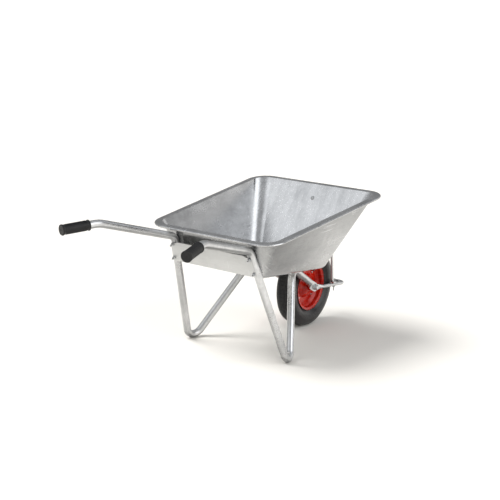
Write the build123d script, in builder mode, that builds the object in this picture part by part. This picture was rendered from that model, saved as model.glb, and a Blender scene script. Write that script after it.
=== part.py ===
from build123d import *
import os
from math import asin, atan2, cos, pi, sin, sqrt, tan

os.makedirs("parts", exist_ok=True)

# Wheelbarrow, resting on its wheel and both legs. +X points to the wheel, +Y to the
# barrow's left, +Z up. The origin is on the ground, under the middle of the outline.
# Lengths are millimetres. X positions in the list below count from the wheel's axle.

# --- driving dimensions: wheel ---------------------------------------------------
tyre_radius = 185.0
tyre_width = 92.0
tyre_wall = 6.5
rib_depth = 2.5
shoulder_drop = 7.0
rim_flange_radius = 111.5
rim_seat_radius = 100.0
rim_sheet = 2.0
rim_bolt_circle = 74.0
hub_radius = 17.5
hub_bore_radius = 14.0
hub_length = 96.0
sleeve_radius = 10.0
axle_radius = 6.0
bush_flange = 2.5
bush_play = 0.05
fork_gap = 104.0

# --- driving dimensions: frame tubes ---------------------------------------------
tube_radius = 16.0
tube_wall = 2.0
handle_end = (-1255.0, 296.0, 586.0)
handle_bend = (-1105.0, 250.0, 597.0)
leg_top_y = 188.0
leg_top_z = 497.0
foot_y = 263.0
under_x = -284.0
under_y = 106.0
handle_bend_radius = 120.0
leg_top_bend_radius = 45.0
foot_bend_radius = 42.0
under_bend_radius = 60.0
fork_tab_thickness = 5.0
fork_tab_width = 40.0
grip_length = 112.0
grip_radius = tube_radius + 3.0
grip_flange_radius = tube_radius + 5.5

# --- driving dimensions: tray ----------------------------------------------------
sheet = 1.2
rim_rear = (-725.0, 286.0, 541.0)
rim_front = (67.0, 316.0, 645.0)
floor_rear = (-656.0, 203.0, 371.0)
floor_front = (-142.0, 193.0, 322.0)
rim_corner_radius = 58.0
floor_corner_radius = 42.0
floor_edge_radius = 36.0
lip_width = 30.0
roll_radius = 5.0

# --- driving dimensions: rear plate, tipping hoop, stay --------------------------
plate_sheet = 2.0
plate_top = 483.0
plate_bottom = 396.0
upper_bolt_z = 470.0
lower_bolt_z = 410.0
hoop_radius = 8.0
hoop_wall = 1.6
hoop_reach = 247.0
hoop_drop = 22.0
hoop_half_width = 70.0
hoop_corner_radius = 32.0
stay_radius = 6.5
stay_wall = 1.4
stay_x = 132.0
stay_knee_x = 115.0
stay_knee_z = 330.0
stay_bolt_z = 587.0
stay_top_half_width = 36.0

# --- driving dimensions: fasteners (thread radii) --------------------------------
m6 = 3.0
m8 = 4.0
bolt_play = 0.1
hole_play = 0.5

# --- positions worked out from the sizes above -----------------------------------
axle_z = tyre_radius
grip_run = Vector(*handle_end) - Vector(*handle_bend)
grip_dir = grip_run.normalized()
rear_extent = handle_end[0] - 4.0 - grip_flange_radius * sqrt(1 - grip_dir.X**2)
front_extent = hoop_reach + hoop_radius
axle_x = -(rear_extent + front_extent) / 2
hoop_slope = atan2(hoop_drop, hoop_reach)
rear_wall_slope = atan2(floor_rear[0] - rim_rear[0], rim_rear[2] - floor_rear[2])
front_wall_slope = atan2(rim_front[0] - floor_front[0], rim_front[2] - floor_front[2])
floor_slope = atan2(floor_rear[2] - floor_front[2], floor_front[0] - floor_rear[0])


def at(x, y, z):
    """Point given by its distance ahead of the axle, its Y and its height."""
    return Vector(axle_x + x, y, z)


rear_normal = Vector(-cos(rear_wall_slope), 0, -sin(rear_wall_slope))
front_normal = Vector(cos(front_wall_slope), 0, -sin(front_wall_slope))
floor_normal = Vector(sin(floor_slope), 0, cos(floor_slope))


def rear_wall_x(z):
    """Outer face of the rear wall at height z."""
    return rim_rear[0] + (rim_rear[2] - z) * tan(rear_wall_slope)


def front_wall_x(z):
    """Outer face of the front wall at height z."""
    return rim_front[0] - (rim_front[2] - z) * tan(front_wall_slope)


def leg_point(y, z):
    """Centre of the leg tube where it lies against the rear wall."""
    gap = (tube_radius + bolt_play) / cos(rear_wall_slope)
    return at(rear_wall_x(z) - gap, y, z)


def corner_arc(before, corner, after, radius):
    """Start, middle, end and centre of the arc that rounds a corner."""
    go_in = (corner - before).normalized()
    go_out = (after - corner).normalized()
    turn = go_in.get_angle(go_out) * pi / 180
    inward = (go_out - go_in).normalized()
    centre = corner + inward * (radius / cos(turn / 2))
    start = corner - go_in * (radius * tan(turn / 2))
    end = corner + go_out * (radius * tan(turn / 2))
    return start, centre - inward * radius, end, centre


def furthest_on_arc(before, corner, after, radius, direction):
    """Point of the rounded corner that lies furthest along a direction."""
    start, middle, end, centre = corner_arc(before, corner, after, radius)
    normal = (start - centre).cross(end - centre).normalized()
    flat = direction - normal * direction.dot(normal)
    return centre + flat.normalized() * radius


def bent_line(points, radii):
    """Draw straight runs joined by arcs in the open BuildLine."""
    last = points[0]
    for i, radius in enumerate(radii):
        start, middle, end, centre = corner_arc(points[i], points[i + 1], points[i + 2], radius)
        Line(last, start)
        ThreePointArc(start, middle, end)
        last = end
    Line(last, points[-1])


def bent_tube(points, radii, outer, inner, end_caps):
    """Round tube along a bent line, with flattened end pieces joined on."""
    with BuildPart() as tube:
        with BuildLine() as centreline:
            bent_line(points, radii)
        with BuildSketch(Plane(origin=points[0], z_dir=points[1] - points[0])):
            Circle(outer)
        sweep(path=centreline.line)
        for cap in end_caps:
            add(cap)
        with BuildSketch(Plane(origin=points[0], z_dir=points[1] - points[0])):
            Circle(inner)
        sweep(path=centreline.line, mode=Mode.SUBTRACT)
    return tube.part


def flat_end(start, start_dir, eye, eye_dir, normal, radius, size, hole):
    """Flattened and drilled tube end. size is tab width, tab thickness and taper end."""
    width, thickness, taper_end = size
    join = eye - eye_dir * taper_end
    with BuildPart() as end:
        with BuildSketch(Plane(origin=start, z_dir=start_dir, x_dir=normal)):
            Circle(radius)
        with BuildSketch(Plane(origin=join, z_dir=eye_dir, x_dir=normal)):
            Ellipse(thickness / 2, width / 2)
        loft()
        with BuildSketch(Plane(origin=eye - normal * (thickness / 2), x_dir=eye_dir, z_dir=normal)):
            Circle(width / 2)
            with Locations((-taper_end / 2 - 1, 0)):
                Rectangle(taper_end + 2, width)
        extrude(amount=thickness)
        with BuildSketch(Plane(origin=eye - normal * thickness, x_dir=eye_dir, z_dir=normal)):
            Circle(hole)
        extrude(amount=2 * thickness, mode=Mode.SUBTRACT)
    return end.part


# --- bent line of the left side tube ---------------------------------------------
leg_top = leg_point(leg_top_y, leg_top_z)
fork_eye_y = fork_gap / 2 + fork_tab_thickness / 2
fork_eye = at(0, fork_eye_y, axle_z)
floor_touch = at(floor_rear[0], 0, floor_rear[2]).dot(floor_normal) - tube_radius - bolt_play
foot = leg_point(foot_y, -30)
under = at(under_x, under_y, 350)
for step in range(12):
    low = furthest_on_arc(leg_top, foot, under, foot_bend_radius, Vector(0, 0, -1))
    foot = leg_point(foot_y, foot.Z - low.Z + tube_radius)
    high = furthest_on_arc(foot, under, fork_eye, under_bend_radius, floor_normal)
    under = under + Vector(0, 0, floor_touch - high.dot(floor_normal))
fork_run = fork_eye + Vector(0, 6, 0) - under
fork_start = fork_eye + Vector(0, 6, 0) - fork_run.normalized() * 88
fork_tab_dir = Vector(fork_run.X, 0, fork_run.Z).normalized()
floor_bolt_point = furthest_on_arc(foot, under, fork_eye, under_bend_radius, floor_normal)

left_path = [at(*handle_end), at(*handle_bend), leg_top, foot, under, fork_start]
left_radii = [handle_bend_radius, leg_top_bend_radius, foot_bend_radius, under_bend_radius]


def leg_y(z):
    """Y of the leg tube's centre at height z."""
    return leg_top_y + (foot_y - leg_top_y) * (leg_top_z - z) / (leg_top_z - foot.Z)


# --- bolt places: origin on the sheet's inner face, Z along the bolt --------------
def rear_place(side, z, wall):
    """Place of a bolt through the leg at height z, its head seated wall ahead of the tube."""
    centre = leg_point(side * leg_y(z), z)
    origin = centre - rear_normal * (tube_radius + bolt_play + wall)
    return Plane(origin=origin, z_dir=rear_normal, x_dir=(0, 1, 0))


def floor_place(side):
    """Place of a floor bolt."""
    centre = Vector(floor_bolt_point.X, side * floor_bolt_point.Y, floor_bolt_point.Z)
    origin = centre + floor_normal * (tube_radius + bolt_play + sheet)
    return Plane(origin=origin, z_dir=floor_normal * -1, x_dir=(0, 1, 0))


wall_seat = sheet + 3 * bolt_play
rear_places = [rear_place(s, upper_bolt_z, wall_seat) for s in (1, -1)]
plate_places = [rear_place(s, lower_bolt_z, 0) for s in (1, -1)]
floor_places = [floor_place(s) for s in (1, -1)]
stay_wall_point = at(front_wall_x(stay_bolt_z), 0, stay_bolt_z)
stay_place = Plane(origin=stay_wall_point - front_normal * sheet, z_dir=front_normal, x_dir=(0, 1, 0))


# --- tray ------------------------------------------------------------------------
def section_plane(rear, front, lift):
    """Sloping plane through two cross lines, raised by lift along its normal."""
    along = Vector(front[0] - rear[0], 0, front[2] - rear[2]).normalized()
    up = Vector(-along.Z, 0, along.X)
    return Plane(origin=at(rear[0], 0, rear[2]) + up * lift, x_dir=along, z_dir=up)


def tapered_outline(rear, front, grow, radius):
    """Rounded tray outline, flat in its own plane, grown outward by grow."""
    length = sqrt((front[0] - rear[0]) ** 2 + (front[2] - rear[2]) ** 2)
    spread = (front[1] - rear[1]) / length
    back = rear[1] + grow - grow * spread
    fore = front[1] + grow + grow * spread
    corners = [(-grow, -back), (length + grow, -fore), (length + grow, fore), (-grow, back)]
    with BuildSketch() as outline:
        Polygon(*corners, align=None)
        fillet(outline.vertices(), radius)
    return outline.sketch


def tray_block(grow, lift):
    """Solid with the shape of the tray's outer or inner surface."""
    floor_face = tapered_outline(floor_rear, floor_front, grow, floor_corner_radius + grow)
    rim_face = tapered_outline(rim_rear, rim_front, grow, rim_corner_radius + grow)
    with BuildPart() as block:
        with BuildSketch(section_plane(floor_rear, floor_front, lift)):
            add(floor_face)
        with BuildSketch(rim_plane):
            add(rim_face)
        loft(ruled=True)
        floor_edges = block.faces().sort_by(Axis.Z)[0].edges()
        fillet(floor_edges, floor_edge_radius + grow)
    return block.part


rim_plane = section_plane(rim_rear, rim_front, 0)
roll_line = lip_width - roll_radius
lip_face = tapered_outline(rim_rear, rim_front, roll_line, rim_corner_radius + roll_line)
mouth_face = tapered_outline(rim_rear, rim_front, -sheet, rim_corner_radius - sheet)
roll_path = (rim_plane.offset(-roll_radius) * lip_face).wires()[0]
roll_start = Plane(origin=roll_path @ 0, z_dir=roll_path % 0)
square_neck = 2 * m8 + 0.4
with BuildPart() as tray:
    add(tray_block(0, 0))
    add(tray_block(-sheet, sheet), mode=Mode.SUBTRACT)
    with BuildSketch(rim_plane):
        add(lip_face)
        add(mouth_face, mode=Mode.SUBTRACT)
    extrude(amount=-sheet)
    with BuildSketch(roll_start):
        Circle(roll_radius)
    sweep(path=roll_path)
    with BuildSketch(roll_start):
        Circle(roll_radius - sheet)
    sweep(path=roll_path, mode=Mode.SUBTRACT)
    with BuildSketch(*rear_places, *floor_places, stay_place):
        Rectangle(square_neck, square_neck)
    extrude(amount=4 * sheet, both=True, mode=Mode.SUBTRACT)
tray.part.label = "tray"
export_step(tray.part, "parts/tray.step")


# --- side tubes ------------------------------------------------------------------
fork_cap = flat_end(
    fork_start,
    fork_run.normalized(),
    fork_eye,
    fork_tab_dir,
    Vector(0, 1, 0),
    tube_radius,
    (fork_tab_width, fork_tab_thickness, 40),
    axle_radius + hole_play,
)
with BuildPart() as left_frame_tube:
    add(bent_tube(left_path, left_radii, tube_radius, tube_radius - tube_wall, [fork_cap]))
    with Locations(*[p.location for p in (rear_places[0], plate_places[0], floor_places[0])]):
        Cylinder(m8 + hole_play, 5 * tube_radius, mode=Mode.SUBTRACT)
left_frame_tube.part.label = "left_frame_tube"
export_step(left_frame_tube.part, "parts/left_frame_tube.step")

with BuildPart() as right_frame_tube:
    mirror(left_frame_tube.part, about=Plane.XZ)
right_frame_tube.part.label = "right_frame_tube"
export_step(right_frame_tube.part, "parts/right_frame_tube.step")


# --- grips -----------------------------------------------------------------------
grip_cap = 4.0
with BuildPart() as grip_body:
    with BuildSketch(Plane.XZ):
        with BuildLine():
            Polyline(
                (0, -grip_cap),
                (grip_flange_radius - 2, -grip_cap),
                (grip_flange_radius, 2 - grip_cap),
                (grip_flange_radius, 3),
                (grip_radius, 6),
                (grip_radius, grip_length - 5),
                (grip_flange_radius, grip_length - 3),
                (grip_flange_radius, grip_length),
                (tube_radius + bush_play, grip_length),
                (tube_radius + bush_play, 0),
                (0, 0),
                close=True,
            )
        make_face()
    revolve(axis=Axis.Z)
    with PolarLocations(grip_radius, 20):
        with Locations((0, 0, grip_length / 2)):
            Box(2.4, 1.8, grip_length - 24)
    with Locations((0, 0, -grip_cap)):
        Cylinder(3.5, 2.4, mode=Mode.SUBTRACT)
grip_frame = Plane(origin=at(*handle_end) + grip_dir * bolt_play, z_dir=grip_dir * -1, x_dir=(0, 1, 0))
with BuildPart() as left_grip:
    add(grip_body.part.moved(grip_frame.location))
left_grip.part.label = "left_grip"
export_step(left_grip.part, "parts/left_grip.step")

with BuildPart() as right_grip:
    mirror(left_grip.part, about=Plane.XZ)
right_grip.part.label = "right_grip"
export_step(right_grip.part, "parts/right_grip.step")


# --- rear cross plate ------------------------------------------------------------
plate_gap = tube_radius + bolt_play
plate_centre = leg_point(0, (plate_top + plate_bottom) / 2) + rear_normal * plate_gap
plate_plane = Plane(origin=plate_centre, z_dir=rear_normal, x_dir=(0, 1, 0))
plate_half = (plate_top - plate_bottom) / 2 / cos(rear_wall_slope)
plate_edge = 8.0
with BuildPart() as rear_cross_plate:
    with BuildSketch(plate_plane) as plate_face:
        with BuildLine():
            Polyline(
                (-leg_y(plate_bottom) - plate_edge, plate_half),
                (-leg_y(upper_bolt_z) - plate_edge, -plate_half + 14),
                (-leg_y(plate_top) + 26, -plate_half),
                (leg_y(plate_top) - 26, -plate_half),
                (leg_y(upper_bolt_z) + plate_edge, -plate_half + 14),
                (leg_y(plate_bottom) + plate_edge, plate_half),
                close=True,
            )
        make_face()
        fillet(plate_face.vertices(), 5)
    extrude(amount=plate_sheet)
    with Locations(*[p.location for p in rear_places + plate_places]):
        Cylinder(m8 + hole_play, 6 * tube_radius, mode=Mode.SUBTRACT)
rear_cross_plate.part.label = "rear_cross_plate"
export_step(rear_cross_plate.part, "parts/rear_cross_plate.step")


# --- tipping hoop ----------------------------------------------------------------
hoop_tab = 4.0
hoop_eye_y = fork_gap / 2 + fork_tab_thickness + bolt_play + hoop_tab / 2
hoop_dir = Vector(cos(hoop_slope), 0, -sin(hoop_slope))
hoop_up = Vector(sin(hoop_slope), 0, cos(hoop_slope))


def hoop_point(x, y):
    """Point on the hoop's centre plane, x ahead of the axle."""
    return at(x, y, axle_z - x * tan(hoop_slope))


hoop_start = hoop_point(46, hoop_half_width - 5)
hoop_points = [hoop_start, hoop_point(hoop_reach, hoop_half_width)]
hoop_points += [hoop_point(hoop_reach, -hoop_half_width), hoop_point(46, 5 - hoop_half_width)]
hoop_radii = [hoop_corner_radius, hoop_corner_radius]
hoop_caps = []
for side in (1, -1):
    strand = Vector(hoop_point(hoop_reach, side * hoop_half_width) - hoop_point(46, side * (hoop_half_width - 5)))
    hoop_caps.append(
        flat_end(
            hoop_point(46, side * (hoop_half_width - 5)),
            strand * -1,
            at(0, side * hoop_eye_y, axle_z),
            hoop_dir * -1,
            Vector(0, 1, 0),
            hoop_radius,
            (26, hoop_tab, 20),
            axle_radius + hole_play,
        )
    )
stay_tab = 5.0
stay_tab_reach = 20.0
stay_y = hoop_half_width - 5 * (hoop_reach - stay_x - stay_tab_reach) / (hoop_reach - 46)


def hoop_bolt_place(side):
    """Place of a stay foot bolt, its head's seat on the foot."""
    top = hoop_point(stay_x + stay_tab_reach, side * stay_y)
    return Plane(origin=top + hoop_up * (hoop_radius + bolt_play + stay_tab), z_dir=hoop_up * -1, x_dir=hoop_dir)


hoop_places = [hoop_bolt_place(s) for s in (1, -1)]
with BuildPart() as tipping_hoop:
    add(bent_tube(hoop_points, hoop_radii, hoop_radius, hoop_radius - hoop_wall, hoop_caps))
    with Locations(*[p.location for p in hoop_places]):
        Cylinder(m6 + hole_play, 60, mode=Mode.SUBTRACT)
tipping_hoop.part.label = "tipping_hoop"
export_step(tipping_hoop.part, "parts/tipping_hoop.step")


# --- front stay ------------------------------------------------------------------
stay_axis_lift = hoop_radius + bolt_play + stay_tab / 2
foot_corner = hoop_point(stay_x, stay_y) + hoop_up * (stay_axis_lift + 4)
stay_crown = stay_wall_point + front_normal * (stay_radius + bolt_play)
stay_caps = []
for side in (1, -1):
    stay_caps.append(
        flat_end(
            at(stay_x, side * stay_y, foot_corner.Z + 9),
            Vector(0.25, 0, -1),
            hoop_point(stay_x + stay_tab_reach, side * stay_y) + hoop_up * stay_axis_lift,
            hoop_dir,
            hoop_up,
            stay_radius,
            (17, stay_tab, 17),
            m6 + hole_play,
        )
    )
stay_points = [
    at(stay_x, stay_y, foot_corner.Z + 9),
    at(stay_knee_x, stay_y, stay_knee_z),
    Vector(stay_crown.X, stay_top_half_width, stay_crown.Z),
    Vector(stay_crown.X, -stay_top_half_width, stay_crown.Z),
    at(stay_knee_x, -stay_y, stay_knee_z),
    at(stay_x, -stay_y, foot_corner.Z + 9),
]
with BuildPart() as front_stay:
    add(bent_tube(stay_points, [40, 24, 24, 40], stay_radius, stay_radius - stay_wall, stay_caps))
    with Locations(stay_place.location):
        Cylinder(m8 + hole_play, 80, mode=Mode.SUBTRACT)
front_stay.part.label = "front_stay"
export_step(front_stay.part, "parts/front_stay.step")


# --- fasteners -------------------------------------------------------------------
def domed_bolt(radius, length, neck):
    """Cup-head bolt, seat at the origin, shank along +Z, square neck under the head."""
    head_radius = 2.35 * radius
    head_height = 0.75 * radius
    dome = (head_radius**2 + head_height**2) / (2 * head_height)
    half_turn = asin(head_radius / dome) / 2
    shoulder = (dome * sin(half_turn), dome - head_height - dome * cos(half_turn))
    sunk = head_height / 2
    side = 2 * radius + 0.2
    with BuildPart() as bolt:
        with BuildSketch(Plane.XZ):
            with BuildLine():
                Line((0, 0), (head_radius, 0))
                ThreePointArc((head_radius, 0), shoulder, (0, -head_height))
                Line((0, -head_height), (0, 0))
            make_face()
        revolve(axis=Axis.Z)
        with Locations((0, 0, -sunk)):
            Cylinder(radius, length + sunk, align=(Align.CENTER, Align.CENTER, Align.MIN))
            if neck > 0:
                Box(side, side, neck + sunk, align=(Align.CENTER, Align.CENTER, Align.MIN))
        chamfer(bolt.edges().sort_by(Axis.Z)[-1], 0.2 * radius)
    return bolt.part


def hex_bolt(radius, length, flats, head_height):
    """Hexagon bolt, seat at the origin, shank along +Z."""
    with BuildPart() as bolt:
        with BuildSketch(Plane.XY):
            RegularPolygon(radius=flats / 2, side_count=6, major_radius=False)
        extrude(amount=-head_height)
        chamfer(bolt.faces().sort_by(Axis.Z)[0].edges(), 0.12 * head_height)
        Cylinder(radius, length, align=(Align.CENTER, Align.CENTER, Align.MIN))
        chamfer(bolt.edges().sort_by(Axis.Z)[-1], 0.2 * radius)
    return bolt.part


def hex_nut(radius, flats, height):
    """Hexagon nut on the XY plane, growing along +Z."""
    with BuildPart() as nut:
        with BuildSketch(Plane.XY):
            RegularPolygon(radius=flats / 2, side_count=6, major_radius=False)
        extrude(amount=height)
        chamfer(nut.faces().sort_by(Axis.Z)[-1].edges(), 0.1 * height)
        chamfer(nut.faces().sort_by(Axis.Z)[0].edges(), 0.1 * height)
        with Locations((0, 0, height / 2)):
            Cylinder(radius + bush_play, 2 * height, mode=Mode.SUBTRACT)
    return nut.part


def washer(radius, outer, thickness):
    """Flat washer on the XY plane, growing along +Z."""
    with BuildPart() as ring:
        with BuildSketch(Plane.XY):
            Circle(outer)
            Circle(radius + 0.2, mode=Mode.SUBTRACT)
        extrude(amount=thickness)
    return ring.part


def placed(part, places, shift):
    """Copies of a fastener at the given places, moved along the bolt by shift."""
    with BuildPart() as group:
        for place in places:
            add(part.moved(place.offset(shift).location))
    return group.part


washer_m8 = 1.6
nut_m8 = 6.5
rear_stack = wall_seat + 2 * tube_radius + 2 * bolt_play + plate_sheet
rear_bolts = placed(domed_bolt(m8, rear_stack + 17, sheet), rear_places, 0)
rear_bolts.label = "rear_wall_bolts"
export_step(rear_bolts, "parts/rear_wall_bolts.step")
plate_stack = rear_stack - wall_seat
plate_bolts = placed(domed_bolt(m8, plate_stack + 17, 0), plate_places, 0)
plate_bolts.label = "cross_plate_bolts"
export_step(plate_bolts, "parts/cross_plate_bolts.step")
nut_places = [p.offset(rear_stack) for p in rear_places]
nut_places += [p.offset(plate_stack) for p in plate_places]
rear_washers = placed(washer(m8, 8, washer_m8), nut_places, 0)
rear_washers.label = "cross_plate_washers"
export_step(rear_washers, "parts/cross_plate_washers.step")
rear_nuts = placed(hex_nut(m8, 13, nut_m8), nut_places, washer_m8)
rear_nuts.label = "cross_plate_nuts"
export_step(rear_nuts, "parts/cross_plate_nuts.step")

floor_stack = sheet + 2 * tube_radius + bolt_play
floor_bolts = placed(domed_bolt(m8, floor_stack + 15, sheet), floor_places, 0)
floor_bolts.label = "floor_bolts"
export_step(floor_bolts, "parts/floor_bolts.step")
floor_washers = placed(washer(m8, 8, washer_m8), floor_places, floor_stack + 1.3)
floor_washers.label = "floor_washers"
export_step(floor_washers, "parts/floor_washers.step")
floor_nuts = placed(hex_nut(m8, 13, nut_m8), floor_places, floor_stack + 1.3 + washer_m8)
floor_nuts.label = "floor_nuts"
export_step(floor_nuts, "parts/floor_nuts.step")

stay_stack = sheet + 2 * stay_radius + bolt_play
stay_bolt = placed(domed_bolt(m8, stay_stack + 13, sheet), [stay_place], 0)
stay_bolt.label = "stay_top_bolt"
export_step(stay_bolt, "parts/stay_top_bolt.step")
stay_washer = placed(washer(m8, 8, washer_m8), [stay_place], stay_stack)
stay_washer.label = "stay_top_washer"
export_step(stay_washer, "parts/stay_top_washer.step")
stay_nut = placed(hex_nut(m8, 13, nut_m8), [stay_place], stay_stack + washer_m8)
stay_nut.label = "stay_top_nut"
export_step(stay_nut, "parts/stay_top_nut.step")

hoop_stack = stay_tab + bolt_play + 2 * hoop_radius
washer_m6 = 1.6
nut_m6 = 5.0
foot_bolts = placed(hex_bolt(m6, hoop_stack + 22, 10, 4), hoop_places, 0)
foot_bolts.label = "stay_foot_bolts"
export_step(foot_bolts, "parts/stay_foot_bolts.step")
foot_washers = placed(washer(m6, 6, washer_m6), hoop_places, hoop_stack)
foot_washers.label = "stay_foot_washers"
export_step(foot_washers, "parts/stay_foot_washers.step")
foot_nuts = placed(hex_nut(m6, 10, nut_m6), hoop_places, hoop_stack + washer_m6)
foot_nuts.label = "stay_foot_nuts"
export_step(foot_nuts, "parts/stay_foot_nuts.step")


# --- axle ------------------------------------------------------------------------
axle_point = at(0, 0, axle_z)
axle_line = Axis(axle_point, (0, 1, 0))
washer_m12 = 2.5
nut_m12 = 10.0
axle_half = fork_gap / 2 + fork_tab_thickness + bolt_play + hoop_tab
axle_seat = axle_point - Vector(0, axle_half + washer_m12 + bolt_play, 0)
axle_place = Plane(origin=axle_seat, z_dir=(0, 1, 0), x_dir=(1, 0, 0))
axle_length = 2 * (axle_half + washer_m12 + bolt_play) + nut_m12 + 5
axle_bolt = placed(hex_bolt(axle_radius, axle_length, 19, 7.5), [axle_place], 0)
axle_bolt.label = "axle_bolt"
export_step(axle_bolt, "parts/axle_bolt.step")
axle_washer = washer(axle_radius, 12, washer_m12)
axle_washers = Part() + [
    axle_washer.moved(axle_place.location),
    axle_washer.moved(axle_place.offset(2 * axle_half + washer_m12 + 2 * bolt_play).location),
]
axle_washers.label = "axle_washers"
export_step(axle_washers, "parts/axle_washers.step")
nut_shift = 2 * (axle_half + washer_m12 + bolt_play)
axle_nut = placed(hex_nut(axle_radius, 19, nut_m12), [axle_place], nut_shift)
axle_nut.label = "axle_nut"
export_step(axle_nut, "parts/axle_nut.step")

with BuildPart() as axle_sleeve:
    with Locations(Plane(origin=axle_point, z_dir=(0, 1, 0)).location):
        Cylinder(sleeve_radius, fork_gap - 2 * bolt_play)
        Cylinder(axle_radius + bolt_play, 2 * fork_gap, mode=Mode.SUBTRACT)
axle_sleeve.part.label = "axle_sleeve"
export_step(axle_sleeve.part, "parts/axle_sleeve.step")


# --- wheel: profiles are drawn with X across the wheel and Y out from the axle -----
wheel_plane = Plane(origin=axle_point, x_dir=(0, 1, 0), z_dir=(1, 0, 0))
hub_plane = Plane(origin=axle_point, z_dir=(0, 1, 0), x_dir=(1, 0, 0))

with BuildPart() as hub_tube:
    with Locations(hub_plane.location):
        Cylinder(hub_radius, hub_length)
        Cylinder(hub_bore_radius, 2 * hub_length, mode=Mode.SUBTRACT)
hub_tube.part.label = "hub_tube"
export_step(hub_tube.part, "parts/hub_tube.step")

bush_end = hub_length / 2 + bolt_play
with BuildPart() as left_bush:
    with BuildSketch(wheel_plane):
        with BuildLine():
            Polyline(
                (bush_end - 22, sleeve_radius + bush_play),
                (bush_end + bush_flange, sleeve_radius + bush_play),
                (bush_end + bush_flange, hub_radius - 0.5),
                (bush_end, hub_radius - 0.5),
                (bush_end, hub_bore_radius - bush_play),
                (bush_end - 22, hub_bore_radius - bush_play),
                close=True,
            )
        make_face()
    revolve(axis=axle_line)
left_bush.part.label = "left_bush"
export_step(left_bush.part, "parts/left_bush.step")

with BuildPart() as right_bush:
    mirror(left_bush.part, about=Plane.XZ)
right_bush.part.label = "right_bush"
export_step(right_bush.part, "parts/right_bush.step")

seat_outer = 31.0
rim_face_y = rim_sheet / 2 + 0.05
bolt_places = []
for turn in range(4):
    angle = turn * 90 + 45
    spot = Vector(1, 0, 0).rotate(Axis.Y, angle) * rim_bolt_circle
    seat = axle_point + spot - Vector(0, rim_face_y + rim_sheet / 2 + bolt_play, 0)
    bolt_places.append(Plane(origin=seat, z_dir=(0, 1, 0), x_dir=spot))
valve_dir = Vector(0, -0.771, -0.638).rotate(Axis.Y, 20)
valve_well = axle_point + Vector(0, -8, 92.3).rotate(Axis.Y, 20)
valve_plane = Plane(origin=valve_well, z_dir=valve_dir)
with BuildPart() as left_rim_half:
    with BuildSketch(wheel_plane):
        with BuildLine() as rim_line:
            FilletPolyline(
                (38, hub_radius + rim_sheet / 2 + bush_play),
                (27, hub_radius + rim_sheet / 2 + bush_play),
                (15, 42),
                (rim_face_y, 58),
                (rim_face_y, 86),
                (13.5, rim_seat_radius),
                (seat_outer, rim_seat_radius),
                (seat_outer + 1.5, rim_flange_radius - 3),
                (seat_outer + 5, rim_flange_radius - rim_sheet / 2),
                radius=3,
            )
        trace(rim_line.line, line_width=rim_sheet)
    revolve(axis=axle_line)
    with Locations(*[p.location for p in bolt_places]):
        Cylinder(m6 + 0.3, 20, mode=Mode.SUBTRACT)
with BuildPart() as right_rim_half:
    mirror(left_rim_half.part, about=Plane.XZ)
    with Locations(valve_plane.location):
        Cylinder(8, 14, mode=Mode.SUBTRACT)
left_rim_half.part.label = "left_rim_half"
export_step(left_rim_half.part, "parts/left_rim_half.step")
right_rim_half.part.label = "right_rim_half"
export_step(right_rim_half.part, "parts/right_rim_half.step")

rim_stack = 2 * (rim_face_y + rim_sheet / 2) + 2 * bolt_play
rim_bolts = placed(hex_bolt(m6, rim_stack + 8, 10, 4), bolt_places, 0)
rim_bolts.label = "rim_bolts"
export_step(rim_bolts, "parts/rim_bolts.step")
rim_nuts = placed(hex_nut(m6, 10, nut_m6), bolt_places, rim_stack)
rim_nuts.label = "rim_nuts"
export_step(rim_nuts, "parts/rim_nuts.step")


def tyre_side(inset):
    """Half cross-section points of the tyre's outer surface, moved in by inset."""
    half = tyre_width / 2
    shoulder = (half - 10 - inset, tyre_radius - shoulder_drop - inset)
    bulge = (half - inset, (tyre_radius + rim_flange_radius) / 2 + 2)
    return [shoulder, bulge, (seat_outer + 2 - inset, rim_flange_radius + 4.5 + inset / 2)]


with BuildPart() as tyre:
    with BuildSketch(wheel_plane) as tyre_profile:
        with BuildLine():
            shoulder, bulge, neck = tyre_side(0)
            inner_shoulder, inner_bulge, inner_neck = tyre_side(tyre_wall)
            ThreePointArc((-shoulder[0], shoulder[1]), (0, tyre_radius), shoulder)
            ThreePointArc(shoulder, bulge, neck)
            Line(neck, (seat_outer - 0.5, rim_flange_radius))
            Line((seat_outer - 0.5, rim_flange_radius), (seat_outer - 2.5, rim_seat_radius + 1.2))
            Line((seat_outer - 2.5, rim_seat_radius + 1.2), (19, rim_seat_radius + 1.2))
            Line((19, rim_seat_radius + 1.2), inner_neck)
            ThreePointArc(inner_neck, inner_bulge, inner_shoulder)
            ThreePointArc(
                inner_shoulder,
                (0, tyre_radius - tyre_wall - 1.5),
                (-inner_shoulder[0], inner_shoulder[1]),
            )
            ThreePointArc(
                (-inner_shoulder[0], inner_shoulder[1]),
                (-inner_bulge[0], inner_bulge[1]),
                (-inner_neck[0], inner_neck[1]),
            )
            Line((-inner_neck[0], inner_neck[1]), (-19, rim_seat_radius + 1.2))
            Line((-19, rim_seat_radius + 1.2), (2.5 - seat_outer, rim_seat_radius + 1.2))
            Line((2.5 - seat_outer, rim_seat_radius + 1.2), (0.5 - seat_outer, rim_flange_radius))
            Line((0.5 - seat_outer, rim_flange_radius), (-neck[0], neck[1]))
            ThreePointArc((-neck[0], neck[1]), (-bulge[0], bulge[1]), (-shoulder[0], shoulder[1]))
        make_face()
        for groove in (-20, -12, -4, 4, 12, 20):
            crown = tyre_radius - shoulder_drop * (groove / shoulder[0]) ** 2
            with Locations((groove, crown)):
                Rectangle(3, 2 * rib_depth, mode=Mode.SUBTRACT)
    revolve(axis=axle_line)
tyre.part.label = "tyre"
export_step(tyre.part, "parts/tyre.step")

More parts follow.
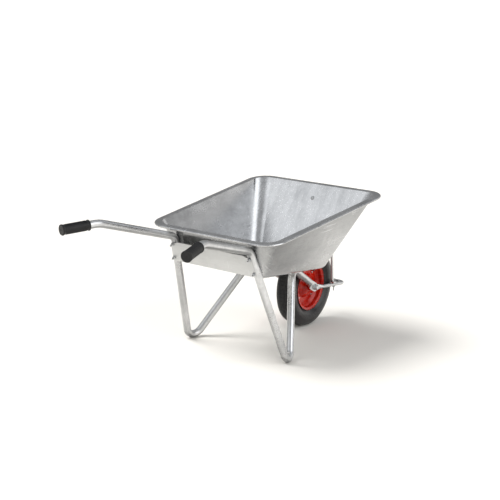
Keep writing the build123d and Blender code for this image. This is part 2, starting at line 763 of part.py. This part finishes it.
tube_centre = (rim_seat_radius + tyre_radius) / 2 + 0.5
tube_height = tyre_radius - rim_seat_radius - 26
tube_width = tyre_width - 24
tube_corner = 0.44 * tube_height
tube_skin = 1.6
stem_radius = 4.0
with BuildPart() as inner_tube:
    with BuildSketch(wheel_plane):
        with Locations((0, tube_centre)):
            RectangleRounded(tube_width, tube_height, tube_corner)
    revolve(axis=axle_line)
    with Locations(valve_plane.offset(-3.2).location):
        Cylinder(stem_radius, 60)
    with BuildSketch(wheel_plane):
        with Locations((0, tube_centre)):
            RectangleRounded(tube_width - 2 * tube_skin, tube_height - 2 * tube_skin, tube_corner - tube_skin)
    revolve(axis=axle_line, mode=Mode.SUBTRACT)
    with Locations(valve_plane.location):
        Cylinder(1.5, 80, mode=Mode.SUBTRACT)
inner_tube.part.label = "inner_tube"
export_step(inner_tube.part, "parts/inner_tube.step")

with BuildPart() as valve_cap:
    with Locations(valve_plane.offset(22).location):
        Cylinder(5, 13)
    with Locations(valve_plane.offset(22 - 1.5).location):
        Cylinder(stem_radius + bush_play, 13, mode=Mode.SUBTRACT)
valve_cap.part.label = "valve_cap"
export_step(valve_cap.part, "parts/valve_cap.step")
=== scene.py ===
import bpy
from math import radians
from mathutils import Euler, Matrix, Vector


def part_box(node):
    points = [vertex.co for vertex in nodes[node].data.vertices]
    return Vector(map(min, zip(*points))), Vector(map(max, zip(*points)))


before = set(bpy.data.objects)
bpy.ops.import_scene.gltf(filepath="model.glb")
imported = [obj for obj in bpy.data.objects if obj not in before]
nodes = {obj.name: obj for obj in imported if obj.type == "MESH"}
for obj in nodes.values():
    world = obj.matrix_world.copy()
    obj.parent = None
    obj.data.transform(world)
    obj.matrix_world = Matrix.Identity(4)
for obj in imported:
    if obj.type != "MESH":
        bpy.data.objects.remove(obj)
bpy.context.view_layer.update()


# --- small tools for materials ----------------------------------------------------
class Value:
    """A shader socket that takes part in Python sums; each sum adds its Math node."""

    def __init__(self, finish, socket):
        self.finish = finish
        self.socket = socket

    def sum(self, operation, first, second=0.0):
        return self.finish.node("ShaderNodeMath", {"operation": operation}, {0: first, 1: second})

    def __add__(self, other):
        return self.sum("ADD", self, other)

    __radd__ = __add__

    def __sub__(self, other):
        return self.sum("SUBTRACT", self, other)

    def __rsub__(self, other):
        return self.sum("SUBTRACT", other, self)

    def __mul__(self, other):
        return self.sum("MULTIPLY", self, other)

    __rmul__ = __mul__

    def above(self, low, high):
        """0 below low, 1 above high, smooth between."""
        settings = {"interpolation_type": "SMOOTHSTEP"}
        inputs = {0: self, 1: low, 2: high, 3: 0.0, 4: 1.0}
        return self.finish.node("ShaderNodeMapRange", settings, inputs)


class Nodes:
    """A node tree and the few ways nodes are added to it."""

    def __init__(self, tree):
        self.tree = tree

    def node(self, kind, settings, inputs, output=0):
        made = self.tree.nodes.new(kind)
        for key, value in settings.items():
            setattr(made, key, value)
        for key, value in inputs.items():
            self.feed(made.inputs[key], value)
        return Value(self, made.outputs[output])

    def feed(self, socket, value):
        if isinstance(value, Value):
            self.tree.links.new(value.socket, socket)
        else:
            socket.default_value = value

    def tint(self, amount, dull, bright):
        """Colour between dull and bright by amount."""
        ends = [c if isinstance(c, Value) else (*c, 1.0) for c in (dull, bright)]
        inputs = {0: amount, 6: ends[0], 7: ends[1]}
        return self.node("ShaderNodeMix", {"data_type": "RGBA"}, inputs, 2)


class Finish(Nodes):
    """A material with one Principled shader and the nodes that feed it."""

    def __init__(self, name, **constants):
        self.material = bpy.data.materials.new(name)
        self.material.use_nodes = True
        super().__init__(self.material.node_tree)
        self.shader = self.tree.nodes["Principled BSDF"]
        for socket, value in constants.items():
            self.shader.inputs[socket.replace("_", " ")].default_value = value
        self.place = self.node("ShaderNodeTexCoord", {}, {}, "Object")

    def drive(self, **values):
        for socket, value in values.items():
            self.feed(self.shader.inputs[socket.replace("_", " ")], value)

    def stretch(self, scale, turn=(0, 0, 0)):
        """Object coordinates scaled and turned, for patterns with a direction."""
        inputs = {"Vector": self.place, "Scale": scale, "Rotation": turn}
        return self.node("ShaderNodeMapping", {}, inputs)

    def noise(self, scale, detail=3.0, rough=0.5, place=None, warp=0.0):
        inputs = {"Vector": place or self.place, "Scale": scale, "Detail": detail}
        inputs.update(Roughness=rough, Distortion=warp)
        return self.node("ShaderNodeTexNoise", {}, inputs)

    def crystals(self, scale):
        """Grey value of each cell in a pattern of small crystals."""
        settings = {"feature": "F1"}
        cells = self.node("ShaderNodeTexVoronoi", settings, {"Vector": self.place, "Scale": scale}, "Color")
        return self.node("ShaderNodeRGBToBW", {}, {0: cells})

    def axis(self, letter, place=None):
        return self.node("ShaderNodeSeparateXYZ", {}, {0: place or self.place}, letter)

    def reach(self, centre):
        """Distance from the Y line through centre."""
        flatten = {"operation": "MULTIPLY"}
        flat = self.node("ShaderNodeVectorMath", flatten, {0: self.place, 1: (1, 0, 1)})
        ends = {0: flat, 1: (centre.x, 0, centre.z)}
        return self.node("ShaderNodeVectorMath", {"operation": "DISTANCE"}, ends, "Value")

    def around(self, centre):
        """Angle about the Y line through centre."""
        rise = self.axis("Z") - centre.z
        return rise.sum("ARCTAN2", rise, self.axis("X") - centre.x)

    def bump(self, height, distance, strength=1.0, under=None):
        inputs = {"Height": height, "Distance": distance, "Strength": strength}
        if under is not None:
            inputs["Normal"] = under
        return self.node("ShaderNodeBump", {}, inputs)


# --- finishes ---------------------------------------------------------------------
wheel_low, wheel_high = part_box("tyre")
axle = (Vector(wheel_low) + Vector(wheel_high)) / 2
lip_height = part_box("tray")[1][2]
rim_edge = 0.099
ring_start = 0.13
ring_end = 0.15
ring_pitch = 2200.0
tread_start = 0.172
tread_worn = 0.176
sipe_count = 64.0


def galvanised(name, dull, bright, streak_scale, streak_turn, polish, below, painted_low_tone):
    """Zinc-coated steel: faint spangle, drawn streaks, handling marks and fine scratches, plus painted
    shade on downward faces under the lip and a painted tone on low downward faces (painted reflection where
    it is light, painted shade where it is dark).
    """
    steel = Finish(name, Metallic=0.92)
    crystal = steel.crystals(95.0)
    cloud = steel.noise(7.0, 4.0, 0.6, warp=0.6)
    drawn = steel.noise(1.0, 5.0, 0.65, steel.stretch(streak_scale, streak_turn))
    fine = steel.noise(1.0, 3.0, 0.7, steel.stretch([9 * s for s in streak_scale], streak_turn))
    stain = steel.noise(3.1, 6.0, 0.7, warp=1.4).above(0.54, 0.72)
    hair = steel.noise(1.0, 1.0, 0.4, steel.stretch((4, 230, 12), (0.4, 0.9, 0.6)))
    picked = steel.noise(9.0, 2.0, 0.5).above(0.52, 0.6)
    scratch = hair.above(0.64, 0.7) * picked
    facing = steel.axis("Z", steel.node("ShaderNodeNewGeometry", {}, {}, "Normal"))
    height = steel.axis("Z")
    under = (0 - facing).above(0.15, 0.5)
    # painted shade: downward faces just under the lip are darkened, standing in for the shadow under the
    # lip
    painted_lip_shade = under * height.above(lip_height - 0.32, lip_height - 0.04)
    # painted light and shade: low downward faces are pulled towards a given tone, which is lighter as a
    # painted reflection on the tray and plate and darker as a painted shade on the tubes
    low = under * (1 - height.above(lip_height - 0.4, lip_height - 0.22))
    shade = cloud * 0.42 + drawn * 0.36 + crystal * 0.06 + fine * 0.16
    colour = steel.tint(shade.above(0.3, 0.72), dull, bright)
    colour = steel.tint(stain * 0.35, colour, [0.62 * part for part in bright])
    # paint that shade under the lip in near-black
    colour = steel.tint(painted_lip_shade * 0.7, colour, (0.14, 0.141, 0.142))
    # apply the painted tone to the low downward faces
    colour = steel.tint(low * below, colour, painted_low_tone)
    colour = steel.tint(scratch * 0.3, colour, (0.8, 0.81, 0.82))
    steel.drive(
        Base_Color=colour,
        Roughness=polish + cloud * 0.16 + crystal * 0.04 + drawn * 0.1 + scratch * 0.05,
        Normal=steel.bump(fine * 0.5 + scratch * 0.3, 0.00005, 0.4, steel.bump(cloud, 0.002, 0.2)),
    )
    return steel.material


def zinc_plate():
    """Bright zinc on small turned and pressed parts, dulled in patches."""
    zinc = Finish("bright zinc", Metallic=1.0)
    patch = zinc.noise(160.0, 4.0, 0.6)
    grain = zinc.noise(900.0, 2.0, 0.5)
    zinc.drive(
        Base_Color=zinc.tint(patch.above(0.35, 0.65), (0.46, 0.47, 0.47), (0.72, 0.73, 0.74)),
        Roughness=patch * 0.25 + 0.2,
        Normal=zinc.bump(grain, 0.0001, 0.4),
    )
    return zinc.material


def red_enamel():
    """Glossy enamel with orange peel, patches of dust and chips along the rim's edge."""
    paint = Finish("red enamel", Coat_Roughness=0.12, Specular_IOR_Level=0.3)
    peel = paint.noise(260.0, 2.0, 0.5)
    cloud = paint.noise(22.0, 4.0, 0.6)
    dust = paint.noise(48.0, 6.0, 0.75).above(0.5, 0.75)
    edge = paint.reach(axle).above(rim_edge, rim_edge + 0.009)
    chip = edge * paint.noise(130.0, 5.0, 0.7).above(0.56, 0.6)
    colour = paint.tint(cloud.above(0.3, 0.7), (0.36, 0.004, 0.001), (0.56, 0.016, 0.003))
    colour = paint.tint(dust * 0.18, colour, (0.34, 0.12, 0.07))
    paint.drive(
        Base_Color=paint.tint(chip, colour, (0.16, 0.13, 0.12)),
        Roughness=dust * 0.3 + 0.27 + chip * 0.2,
        Coat_Weight=(0.3 - dust * 0.2) * (1 - chip),
        Normal=paint.bump(peel - chip * 2.0, 0.0003, 0.25),
    )
    return paint.material


def tyre_tread():
    """Black rubber with rings on the wall, sipes across the tread and scuffed high spots."""
    black = Finish("tyre rubber", Metallic=0.0, Specular_IOR_Level=0.5)
    bloom = black.noise(14.0, 5.0, 0.65, warp=0.5)
    grain = black.noise(700.0, 3.0, 0.6)
    scuff = black.noise(75.0, 5.0, 0.7).above(0.56, 0.7)
    reach = black.reach(axle)
    rings = (reach * ring_pitch).sum("SINE", reach * ring_pitch).above(0.2, 0.7)
    wall = reach.above(ring_start, ring_start + 0.004) * (1 - reach.above(ring_end, ring_end + 0.004))
    turn = black.around(axle) * sipe_count
    sipe = turn.sum("SINE", turn).above(0.8, 0.95) * reach.above(tread_start, tread_start + 0.006)
    worn = reach.above(tread_worn, tread_worn + 0.008)
    colour = black.tint(bloom.above(0.35, 0.7), (0.009, 0.009, 0.0095), (0.02, 0.02, 0.0205))
    colour = black.tint(worn * scuff * 0.6, colour, (0.05, 0.048, 0.045))
    black.drive(
        # painted shade: the sipe cuts are coloured near-black as well as bumped, standing in for shade in
        # the recess
        Base_Color=black.tint(sipe, colour, (0.004, 0.004, 0.004)),
        Roughness=0.26 + bloom * 0.16 + scuff * 0.12 + worn * 0.25,
        Normal=black.bump(rings * wall - sipe * 2.0, 0.0009, 0.6, black.bump(grain, 0.0003, 0.4)),
    )
    return black.material


def rubber(name, dark, worn, shine, grain_scale):
    """Moulded black rubber with a fine grain, bloom and scuffed high spots."""
    black = Finish(name, Metallic=0.0, Specular_IOR_Level=0.35)
    bloom = black.noise(14.0, 5.0, 0.65, warp=0.5)
    grain = black.noise(grain_scale, 3.0, 0.6)
    scuff = black.noise(75.0, 5.0, 0.7).above(0.56, 0.7)
    colour = black.tint(bloom.above(0.35, 0.7), dark, worn)
    black.drive(
        Base_Color=black.tint(scuff * 0.35, colour, [2.0 * part for part in worn]),
        Roughness=shine + bloom * 0.2 + scuff * 0.12,
        Normal=black.bump(grain + scuff * 0.5, 0.0004, 0.5),
    )
    return black.material


def moulded(name, dark, light, shine):
    """Plain moulded plastic with a faint mould texture."""
    plastic = Finish(name, Metallic=0.0)
    cloud = plastic.noise(60.0, 3.0, 0.5)
    grain = plastic.noise(700.0, 2.0, 0.5)
    plastic.drive(
        Base_Color=plastic.tint(cloud, dark, light),
        Roughness=shine + cloud * 0.15,
        Normal=plastic.bump(grain, 0.0001, 0.4),
    )
    return plastic.material


tray_steel = galvanised(
    "galvanised sheet",
    dull=(0.42, 0.425, 0.43),
    bright=(0.72, 0.725, 0.73),
    streak_scale=(2.2, 26, 5),
    streak_turn=(0, 0, 0.5),
    polish=0.1,
    # painted reflection: the tray's low outer wall is lightened
    below=0.85,
    painted_low_tone=(0.95, 0.95, 0.92),
)
plate_steel = galvanised(
    "galvanised plate",
    dull=(0.56, 0.565, 0.56),
    bright=(0.72, 0.725, 0.72),
    streak_scale=(20, 3, 20),
    streak_turn=(0, 0, 0),
    polish=0.34,
    # painted reflection: the plate's low downward faces are lightened
    below=0.3,
    painted_low_tone=(0.92, 0.92, 0.9),
)
tube_steel = galvanised(
    "galvanised tube",
    dull=(0.46, 0.465, 0.47),
    bright=(0.78, 0.785, 0.79),
    streak_scale=(12, 12, 4),
    streak_turn=(0, 0, 0),
    polish=0.14,
    # painted shade: the tubes' low undersides are darkened
    below=0.65,
    painted_low_tone=(0.2, 0.2, 0.2),
)
zinc = zinc_plate()
enamel = red_enamel()
tyre_rubber = tyre_tread()
grip_rubber = rubber("grip rubber", (0.007, 0.007, 0.0075), (0.014, 0.014, 0.015), 0.36, 900.0)
butyl = rubber("butyl tube", (0.03, 0.03, 0.031), (0.05, 0.05, 0.051), 0.45, 500.0)
cap_plastic = moulded("black plastic", (0.015, 0.015, 0.016), (0.03, 0.03, 0.03), 0.35)
nylon = moulded("natural nylon", (0.66, 0.64, 0.58), (0.78, 0.77, 0.72), 0.4)

finish_of = {name: zinc for name in nodes}
finish_of.update(tray=tray_steel, rear_cross_plate=plate_steel, tyre=tyre_rubber, inner_tube=butyl)
finish_of.update(left_frame_tube=tube_steel, right_frame_tube=tube_steel)
finish_of.update(tipping_hoop=tube_steel, front_stay=tube_steel)
finish_of.update(left_grip=grip_rubber, right_grip=grip_rubber, valve_cap=cap_plastic)
finish_of.update(left_rim_half=enamel, right_rim_half=enamel, hub_tube=enamel)
finish_of.update(left_bush=nylon, right_bush=nylon)
for name, node in nodes.items():
    node.data.materials.clear()
    node.data.materials.append(finish_of[name])


# --- floor, light and camera ------------------------------------------------------
side_screen = (0.0, -0.89, 0.45)
back_screen = (-0.6, 0.35, 0.6)
dark_gap = (0.6, -0.7, 0.38)
front_screen = (0.88, -0.4, 0.26)
far_gap = (0.79, 0.54, 0.28)
def backdrop():
    """Pale studio floor, far wider than the barrow."""
    bpy.ops.object.select_all(action="DESELECT")
    bpy.ops.mesh.primitive_plane_add(size=90.0, location=(0, 0, -0.0005))
    floor = bpy.context.object
    floor.name = "studio_floor"
    paper = Finish("studio paper", Roughness=0.95)
    paper.drive(Base_Color=(0.9, 0.872, 0.82, 1.0))
    floor.data.materials.append(paper.material)


def add_light(name, kind, spot, aim, power, colour=(1.0, 1.0, 1.0), **sizes):
    """Studio light at spot, facing aim."""
    data = bpy.data.lights.new(name, kind)
    data.energy = power
    data.color = colour
    for key, value in sizes.items():
        setattr(data, key, value)
    lamp = bpy.data.objects.new(name, data)
    lamp.location = spot
    lamp.rotation_euler = (Vector(aim) - Vector(spot)).to_track_quat("-Z", "Y").to_euler()
    bpy.context.scene.collection.objects.link(lamp)
    return lamp


def surroundings():
    """Studio walls: dim low down, paler overhead, with wide bright screens on two sides."""
    world = bpy.data.worlds.new("studio")
    bpy.context.scene.world = world
    world.use_nodes = True
    shade = Nodes(world.node_tree)
    place = shade.node("ShaderNodeTexCoord", {}, {}, "Generated")
    height = shade.node("ShaderNodeSeparateXYZ", {}, {0: place}, "Z")

    def towards(direction):
        """1 where a direction is faced, less to its sides."""
        pair = {0: place, 1: direction}
        return shade.node("ShaderNodeVectorMath", {"operation": "DOT_PRODUCT"}, pair, "Value")

    strength = 0.36 + height.above(0.2, 0.8) * 0.1
    strength = strength + towards(side_screen).above(0.8, 0.93) * 1.8
    strength = strength + towards(back_screen).above(0.8, 0.95) * 1.1
    strength = strength - towards(dark_gap).above(0.97, 0.99) * 0.75
    strength = strength + towards(front_screen).above(0.93, 0.98) * 0.65
    strength = strength - towards(far_gap).above(0.88, 0.97) * 0.13
    direct = shade.node("ShaderNodeLightPath", {}, {}, "Is Camera Ray")
    tone = shade.tint(height.above(0.0, 0.6), (1.0, 0.97, 0.93), (0.95, 0.97, 1.0))
    back = world.node_tree.nodes["Background"]
    shade.feed(back.inputs["Color"], tone)
    shade.feed(back.inputs["Strength"], direct * (1.15 - strength) + strength)


def studio():
    """One broad key light from the upper left."""
    key = add_light("key", "SUN", (-1.2, 1.6, 3.4), (0.0, 0.0, 0.4), 2.7, angle=radians(34))
    key.visible_glossy = False


def camera():
    """Three-quarter view from behind the barrow's right handle."""
    data = bpy.data.cameras.new("camera")
    data.lens = 76.16
    data.sensor_width = 36.0
    turn = Euler((radians(90 - 13.1), 0, radians(34.71 - 90))).to_matrix()
    roll = Matrix.Rotation(radians(2.38), 3, "Z")
    view = bpy.data.objects.new("camera", data)
    view.matrix_world = Matrix.Translation((axle.x - 4.0092, -2.4641, 1.4322)) @ (turn @ roll).to_4x4()
    bpy.context.scene.collection.objects.link(view)
    bpy.context.scene.camera = view


backdrop()
surroundings()
studio()
camera()
bpy.context.scene.view_settings.view_transform = "Standard"
